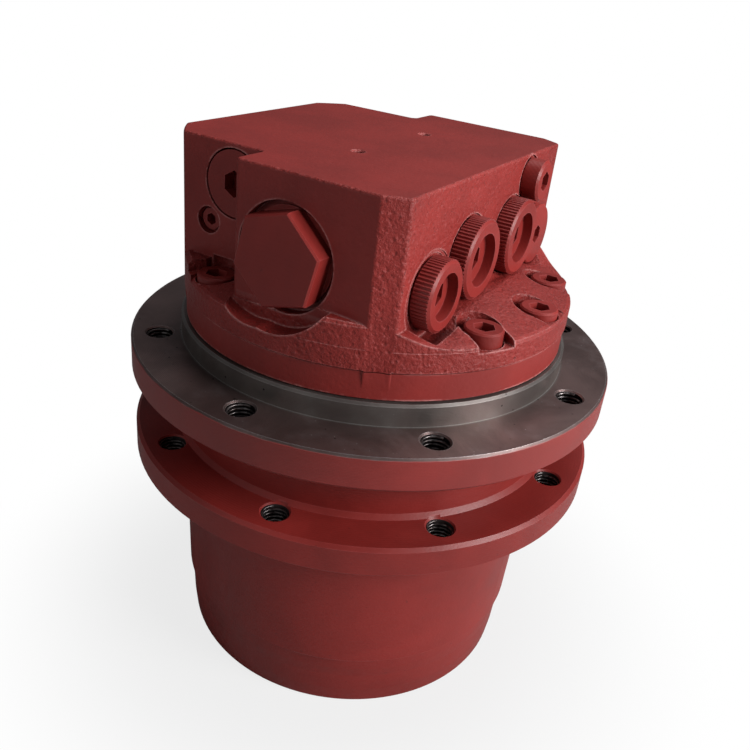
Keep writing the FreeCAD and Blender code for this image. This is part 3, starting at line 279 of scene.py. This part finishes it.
def frame_flange_finish():
    """The spindle's flange: bare turned steel on its face and pilot, red paint on its rim and underside."""
    s = Shader("frame flange steel and paint")
    height = s.split()[2]
    reach = s.radius()
    lines = s.math("SINE", s.math("MULTIPLY", s.math("ADD", reach, height), 9000.0))
    stain = s.noise(17.0, 5.0, 0.65, lean=0.6)
    cloud = s.noise(70.0, 4.0, 0.6)
    grain = s.noise(1400.0, 2.0, 0.5)
    steel = s.blend(s.ramp(stain, 0.32, 0.70), STEEL, tuple(c * 1.9 for c in STEEL))
    steel = s.blend(s.math("MULTIPLY", s.ramp(cloud, 0.50, 0.75), 0.12), steel, STEEL_PALE)
    pilot = s.ramp(reach, 0.0935, 0.0925)
    steel = s.blend(s.math("MULTIPLY", pilot, s.between(cloud, 0.25, 0.75)), steel, PILOT_STEEL)
    dark_specks = s.ramp(s.cells(230.0), 0.13, 0.07)
    some = s.ramp(s.noise(110.0, 2.0, 0.5), 0.50, 0.60)
    steel = s.blend(s.math("MULTIPLY", dark_specks, some), steel, STEEL_SPECK_AND_HOLE_SHADE)
    pale_specks = s.ramp(s.cells(420.0), 0.10, 0.05)
    steel = s.blend(s.math("MULTIPLY", pale_specks, s.ramp(cloud, 0.55, 0.62)), steel, (0.45, 0.42, 0.42))
    shine = s.math("MULTIPLY", s.edges(0.0009), s.ramp(reach, 0.1135, 0.1142, 0.55, 0.9))
    steel = s.blend(shine, steel, (0.60, 0.58, 0.58))
    patch = s.noise(14.0, 5.0, 0.62, lean=0.4)
    paint = s.blend(s.ramp(patch, 0.30, 0.72), tuple(c * 0.90 for c in RED), tuple(c * 1.25 for c in RED))
    wobble = s.math("MULTIPLY", s.math("SUBTRACT", cloud, 0.5), 0.0009)
    below = s.ramp(s.math("ADD", height, wobble), FRAME_FACE - 0.0006, FRAME_FACE - 0.0010)
    outside = s.ramp(reach, 0.062, 0.064)
    walls = s.hole_walls(FRAME_PCR, FRAME_FACE - FRAME_THICK, FRAME_FACE)
    painted = s.math("MULTIPLY", s.math("MULTIPLY", below, outside), s.math("SUBTRACT", 1.0, walls))
    # Hole walls made near black: bare steel, darkened as painted shade inside the tapped holes.
    steel = s.blend(walls, steel, STEEL_SPECK_AND_HOLE_SHADE)
    colour = s.blend(painted, steel, paint)
    metal = s.between(painted, 0.82, 0.0)
    rough = s.between(painted, s.between(cloud, 0.30, 0.50), s.between(patch, 0.36, 0.56))
    relief = s.math("ADD", s.math("MULTIPLY", lines, 0.25), s.math("MULTIPLY", grain, 0.6))
    normal = s.bump(relief, 0.40, 0.00012)
    normal = s.bump(cloud, 0.25, 0.0004, normal)
    return s.finish(colour, rough, metal, normal)


def thread_finish():
    """Cut steel threads, oiled and dark, flecked lighter by a fine noise."""
    s = Shader("cut thread steel")
    grain = s.noise(500.0, 3.0, 0.6)
    colour = s.blend(s.ramp(grain, 0.35, 0.70), (0.045, 0.035, 0.033), (0.22, 0.20, 0.20))
    return s.finish(colour, s.between(grain, 0.25, 0.45), 0.9, s.bump(grain, 0.3, 0.0001))


def bright_steel(name, tint, rough_low, rough_high):
    """Machined steel of the inner pieces, with faint tool rings and oil haze."""
    s = Shader(name)
    cloud = s.noise(60.0, 4.0, 0.6)
    lines = s.math("SINE", s.math("MULTIPLY", s.math("ADD", s.radius(), s.split()[2]), 7000.0))
    colour = s.blend(s.ramp(cloud, 0.3, 0.7), tint, tuple(c * 0.72 for c in tint))
    # Painted highlight: sharp edges are brightened.
    colour = s.blend(s.math("MULTIPLY", s.edges(0.0006), 0.5), colour, tuple(min(1.0, c * 1.4) for c in tint))
    normal = s.bump(s.math("ADD", s.math("MULTIPLY", lines, 0.2), cloud), 0.25, 0.0001)
    return s.finish(colour, s.between(cloud, rough_low, rough_high), 1.0, normal)


def soft_black():
    """Nitrile rubber with a dull bloom."""
    s = Shader("nitrile rubber")
    cloud = s.noise(150.0, 4.0, 0.6)
    colour = s.blend(cloud, (0.010, 0.010, 0.010), (0.035, 0.034, 0.033))
    return s.finish(colour, s.between(cloud, 0.55, 0.75), 0.0, s.bump(cloud, 0.3, 0.0002))


def lining():
    """Sintered friction lining, dark and pitted."""
    s = Shader("sintered lining")
    grain = s.noise(700.0, 3.0, 0.7)
    colour = s.blend(s.ramp(grain, 0.35, 0.65), (0.03, 0.022, 0.016), (0.12, 0.085, 0.055))
    return s.finish(colour, 0.8, 0.2, s.bump(grain, 0.6, 0.0003))


def set_material(name, material):
    mesh = NODES[name].data
    mesh.materials.clear()
    mesh.materials.append(material)


def dress():
    """Gives every piece its finish."""
    block = cast_red("port block paint over sand casting", 620.0, 0.0011)
    hub = turned_red("hub paint over turned casting", holes=True)
    cover = turned_red("cover paint", tuple(c * 0.97 for c in RED))
    screw = turned_red("screw paint", tuple(c * 0.95 for c in RED), 3000.0)
    plug = turned_red("plug paint", tuple(c * 1.05 for c in RED), 3000.0)
    steel = bright_steel("oiled machined steel", (0.42, 0.41, 0.41), 0.25, 0.42)
    ground = bright_steel("ground steel", (0.62, 0.62, 0.63), 0.12, 0.25)
    bronze = bright_steel("machined bronze", (0.50, 0.30, 0.12), 0.25, 0.42)
    rubber = soft_black()
    by_slot = {
        "hub_paint": hub, "cover_paint": cover, "oil_plug_steel": screw,
        "flange_steel": frame_flange_finish(),
        "block_paint": block, "screw_paint": screw, "plug_paint": plug, "valve_plug_paint": plug,
        "wing_plug_paint": screw, "steel_inner": steel, "ground_steel": ground, "rubber": rubber,
        "bronze": bronze, "friction_lining": lining(),
    }
    for entry in frame["record"]["subparts"]:
        set_material(entry["node"], by_slot[entry["material_slot"]])
    return by_slot


# ---------------------------------------------------------------- geometry node helpers
class Geometry:
    """A geometry node tree under construction, with named inputs for its sizes."""

    def __init__(self, name):
        self.tree = bpy.data.node_groups.new(name, "GeometryNodeTree")
        self.tree.interface.new_socket("Geometry", in_out="INPUT", socket_type="NodeSocketGeometry")
        self.tree.interface.new_socket("Geometry", in_out="OUTPUT", socket_type="NodeSocketGeometry")
        self.sizes = {}
        self.values = {}
        self.entry = None

    def size(self, name, value, kind="NodeSocketFloat"):
        socket = self.tree.interface.new_socket(name, in_out="INPUT", socket_type=kind)
        socket.default_value = value
        self.values[socket.identifier] = value
        self.sizes[name] = socket.identifier
        return name

    def ready(self):
        self.entry = self.tree.nodes.new("NodeGroupInput")
        self.exit = self.tree.nodes.new("NodeGroupOutput")

    def read(self, name):
        return next(s for s in self.entry.outputs if s.identifier == self.sizes[name])

    def add(self, kind, inputs=None, **settings):
        node = self.tree.nodes.new(kind)
        for key, value in settings.items():
            setattr(node, key, value)
        for key, value in (inputs or {}).items():
            if isinstance(value, bpy.types.NodeSocket):
                self.tree.links.new(value, node.inputs[key])
            else:
                node.inputs[key].default_value = value
        return node

    def math(self, operation, a, b=0.0):
        return self.add("ShaderNodeMath", {0: a, 1: b}, operation=operation).outputs[0]

    def vector(self, x=0.0, y=0.0, z=0.0):
        return self.add("ShaderNodeCombineXYZ", {0: x, 1: y, 2: z}).outputs[0]

    def finish(self, instances, material):
        """Realizes the copies, gives them their material and closes the tree."""
        real = self.add("GeometryNodeRealizeInstances", {"Geometry": instances})
        done = self.add("GeometryNodeSetMaterial", {"Geometry": real.outputs[0]})
        done.inputs["Material"].default_value = material
        self.tree.links.new(done.outputs[0], self.exit.inputs[0])
        return self.tree


def grown(tree, name, values, body):
    """Runs a geometry tree with its sizes set and turns the result into a plain piece riding on a body."""
    carrier = bpy.data.objects.new(name + " source", bpy.data.meshes.new(name + " source"))
    bpy.context.scene.collection.objects.link(carrier)
    modifier = carrier.modifiers.new("grow", "NODES")
    modifier.node_group = tree
    for identifier, value in values.items():
        modifier[identifier] = value
    bpy.context.view_layer.update()
    evaluated = carrier.evaluated_get(bpy.context.evaluated_depsgraph_get())
    mesh = bpy.data.meshes.new_from_object(evaluated)
    mesh.name = name
    carrier.modifiers.clear()
    bpy.data.objects.remove(carrier)
    return piece(mesh, name, body)


def piece(mesh, name, body):
    """Links a finished mesh as a visible piece riding on a body."""
    made = bpy.data.objects.new(name, mesh)
    bpy.context.scene.collection.objects.link(made)
    tidy_mesh(made.data)
    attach(made, body)
    return made


def tidy_mesh(mesh):
    work = bmesh.new()
    work.from_mesh(mesh)
    bmesh.ops.remove_doubles(work, verts=work.verts, dist=1e-7)
    bmesh.ops.recalc_face_normals(work, faces=work.faces)
    work.to_mesh(mesh)
    work.free()


# ---------------------------------------------------------------- port block casting
def make_block(material):
    """The port block with its foot band turned true all round."""
    mesh = NODES["port_block"].data.copy()
    mesh.name = "port_block_casting"
    for vertex in mesh.vertices:
        reach = math.hypot(vertex.co.x, vertex.co.y)
        if BAND_LOW < vertex.co.z < BAND_HIGH and reach > BAND_R:
            vertex.co.x *= BAND_R / reach
            vertex.co.y *= BAND_R / reach
    mesh.materials.clear()
    mesh.materials.append(material)
    made = bpy.data.objects.new("port_block_casting", mesh)
    bpy.context.scene.collection.objects.link(made)
    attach(made, "housing")
    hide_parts("port_block")


# ---------------------------------------------------------------- threads and knurls
def thread_tree(material):
    """A ring of tapped holes: one screw-thread ridge wound in each hole."""
    g = Geometry("thread ridges")
    g.size("Ring radius", FRAME_PCR)
    g.size("Holes", FRAME_HOLES, "NodeSocketInt")
    g.size("Foot", FRAME_FACE - FRAME_THICK)
    g.size("Length", FRAME_THICK)
    g.size("Hole radius", HOLE_R)
    g.size("Depth", THREAD_DEEP)
    g.size("Pitch", THREAD_PITCH)
    g.ready()
    turns = g.math("DIVIDE", g.read("Length"), g.read("Pitch"))
    middle = g.math("SUBTRACT", g.read("Hole radius"), g.math("MULTIPLY", g.read("Depth"), 0.42))
    spiral = g.add("GeometryNodeCurveSpiral", {
        "Resolution": 22, "Rotations": turns, "Start Radius": middle, "End Radius": middle,
        "Height": g.read("Length")})
    half = g.math("MULTIPLY", g.read("Depth"), 0.58)
    outline = g.add("GeometryNodeCurvePrimitiveCircle", {"Resolution": 4, "Radius": half})
    thread = g.add("GeometryNodeCurveToMesh", {
        "Curve": spiral.outputs[0], "Profile Curve": outline.outputs[0], "Fill Caps": True})
    ring = g.add("GeometryNodeMeshCircle", {"Vertices": g.read("Holes"), "Radius": g.read("Ring radius")})
    raised = g.add("GeometryNodeTransform", {
        "Geometry": ring.outputs[0], "Translation": g.vector(0.0, 0.0, g.read("Foot"))})
    copies = g.add("GeometryNodeInstanceOnPoints", {
        "Points": raised.outputs[0], "Instance": thread.outputs[0]})
    return g, g.finish(copies.outputs[0], material)


def make_threads(material):
    """Threads of the two flanges, each riding with its own flange."""
    g, tree = thread_tree(material)
    for name, body, ring, count, foot, length in (
        ("frame_flange_threads", "housing", FRAME_PCR, FRAME_HOLES,
         FRAME_FACE - FRAME_THICK + THREAD_INSET, FRAME_THICK - 2 * THREAD_INSET),
        ("hub_flange_threads", "hub", HUB_PCR, HUB_HOLES,
         HUB_FLANGE_LOW + THREAD_INSET, HUB_FLANGE_HIGH - HUB_FLANGE_LOW - 2 * THREAD_INSET),
    ):
        values = dict(g.values)
        values[g.sizes["Ring radius"]] = ring
        values[g.sizes["Holes"]] = count
        values[g.sizes["Foot"]] = foot
        values[g.sizes["Length"]] = length
        grown(tree, name, values, body)


def knurl_tree(material):
    """Straight knurling round a plug head: a row of small ridges along its axis, which is X."""
    g = Geometry("knurl ridges")
    g.size("Ridges", 60, "NodeSocketInt")
    g.size("Head radius", 0.016)
    g.size("Length", 0.007)
    g.size("Ridge radius", 0.0006)
    g.size("Middle X", 0.055)
    g.size("Middle Y", 0.0)
    g.size("Middle Z", 0.2)
    g.ready()
    ridge = g.add("GeometryNodeMeshCylinder", {
        "Vertices": 6, "Radius": g.read("Ridge radius"), "Depth": g.read("Length")})
    ring = g.add("GeometryNodeMeshCircle", {"Vertices": g.read("Ridges"), "Radius": g.read("Head radius")})
    copies = g.add("GeometryNodeInstanceOnPoints", {"Points": ring.outputs[0], "Instance": ridge.outputs[0]})
    laid = g.add("GeometryNodeTransform", {
        "Geometry": copies.outputs[0], "Rotation": (0.0, math.pi / 2, 0.0),
        "Translation": g.vector(g.read("Middle X"), g.read("Middle Y"), g.read("Middle Z"))})
    return g, g.finish(laid.outputs[0], material)


def make_knurls(material):
    g, tree = knurl_tree(material)
    for number, (y, z, radius) in enumerate(PORT_PLUGS):
        values = dict(g.values)
        values[g.sizes["Ridges"]] = round(2 * math.pi * radius / KNURL_PITCH)
        values[g.sizes["Head radius"]] = radius - KNURL_SINK
        values[g.sizes["Length"]] = PLUG_FRONT - PLUG_BACK - 2 * KNURL_INSET
        values[g.sizes["Middle X"]] = (PLUG_FRONT + PLUG_BACK) / 2
        values[g.sizes["Middle Y"]] = y
        values[g.sizes["Middle Z"]] = z
        grown(tree, "port_plug_knurl_%d" % (number + 1), values, "housing")


# ---------------------------------------------------------------- stage
CAMERA_AT = (0.173979, -0.320430, 0.328892)
CAMERA_RIGHT = (0.85286694, 0.51214566, 0.101611)
CAMERA_UP = (-0.31645931, 0.35224455, 0.8807822)
CAMERA_BACK = (0.41529686, -0.78334577, 0.462491)
LENS = 38.682
SENSOR = 36.0


def set_camera():
    data = bpy.data.cameras.new("camera")
    data.lens = LENS
    data.sensor_width = SENSOR
    camera = bpy.data.objects.new("camera", data)
    bpy.context.scene.collection.objects.link(camera)
    turn = Matrix((CAMERA_RIGHT, CAMERA_UP, CAMERA_BACK)).transposed()
    camera.matrix_world = Matrix.Translation(Vector(CAMERA_AT)) @ turn.to_4x4()
    bpy.context.scene.camera = camera


def lamp(name, spot, target, size, watts):
    data = bpy.data.lights.new(name, "AREA")
    data.shape = "DISK"
    data.size = size
    data.energy = watts
    made = bpy.data.objects.new(name, data)
    bpy.context.scene.collection.objects.link(made)
    made.location = spot
    made.rotation_euler = (Vector(target) - Vector(spot)).to_track_quat("-Z", "Y").to_euler()


def set_stage():
    """A white floor that keeps the shadow near the drive and fades to plain white, and soft studio lamps."""
    mesh = bpy.data.meshes.new("floor")
    reach = 6.0
    corners = [(-reach, -reach, 0), (reach, -reach, 0), (reach, reach, 0), (-reach, reach, 0)]
    mesh.from_pydata(corners, [], [(0, 1, 2, 3)])
    floor = bpy.data.objects.new("floor", mesh)
    bpy.context.scene.collection.objects.link(floor)
    s = Shader("white floor")
    s.finish((0.34, 0.34, 0.34), 0.9)
    glow = s.add("ShaderNodeEmission")
    glow.inputs["Color"].default_value = (1.0, 1.0, 1.0, 1.0)
    path = s.add("ShaderNodeLightPath")
    seen = s.math("MAXIMUM", path.outputs["Is Camera Ray"], path.outputs["Is Transmission Ray"])
    far = s.math("MULTIPLY", seen, s.ramp(s.radius(), 0.09, 0.22, 0.80, 1.0))
    mix = s.add("ShaderNodeMixShader")
    s.link(far, mix.inputs[0])
    s.link(s.surface.outputs[0], mix.inputs[1])
    s.link(glow.outputs[0], mix.inputs[2])
    s.link(mix.outputs[0], s.output.inputs["Surface"])
    mesh.materials.append(s.material)

    world = bpy.data.worlds.new("studio")
    world.use_nodes = True
    tree = world.node_tree
    tree.nodes.clear()
    out = tree.nodes.new("ShaderNodeOutputWorld")
    soft = tree.nodes.new("ShaderNodeBackground")
    soft.inputs["Color"].default_value = (0.93, 0.95, 1.0, 1.0)
    soft.inputs["Strength"].default_value = 0.095
    white = tree.nodes.new("ShaderNodeBackground")
    white.inputs["Color"].default_value = (1.0, 1.0, 1.0, 1.0)
    white.inputs["Strength"].default_value = 1.0
    light_path = tree.nodes.new("ShaderNodeLightPath")
    choose = tree.nodes.new("ShaderNodeMixShader")
    tree.links.new(light_path.outputs["Is Camera Ray"], choose.inputs[0])
    tree.links.new(soft.outputs[0], choose.inputs[1])
    tree.links.new(white.outputs[0], choose.inputs[2])
    tree.links.new(choose.outputs[0], out.inputs["Surface"])
    bpy.context.scene.world = world

    target = (0.0, 0.0, 0.15)
    lamp("key from the port side", (1.05, 0.02, 0.60), target, 0.55, 19.0)
    lamp("top soft", (0.15, 0.35, 1.15), target, 0.80, 6.5)
    lamp("front fill", (-0.35, -1.10, 0.55), target, 0.70, 2.0)
    bpy.context.scene.view_settings.view_transform = "Standard"


slots = dress()
cut_thread = thread_finish()
make_threads(cut_thread)
make_knurls(slots["plug_paint"])
make_block(slots["block_paint"])
set_stage()
set_camera()
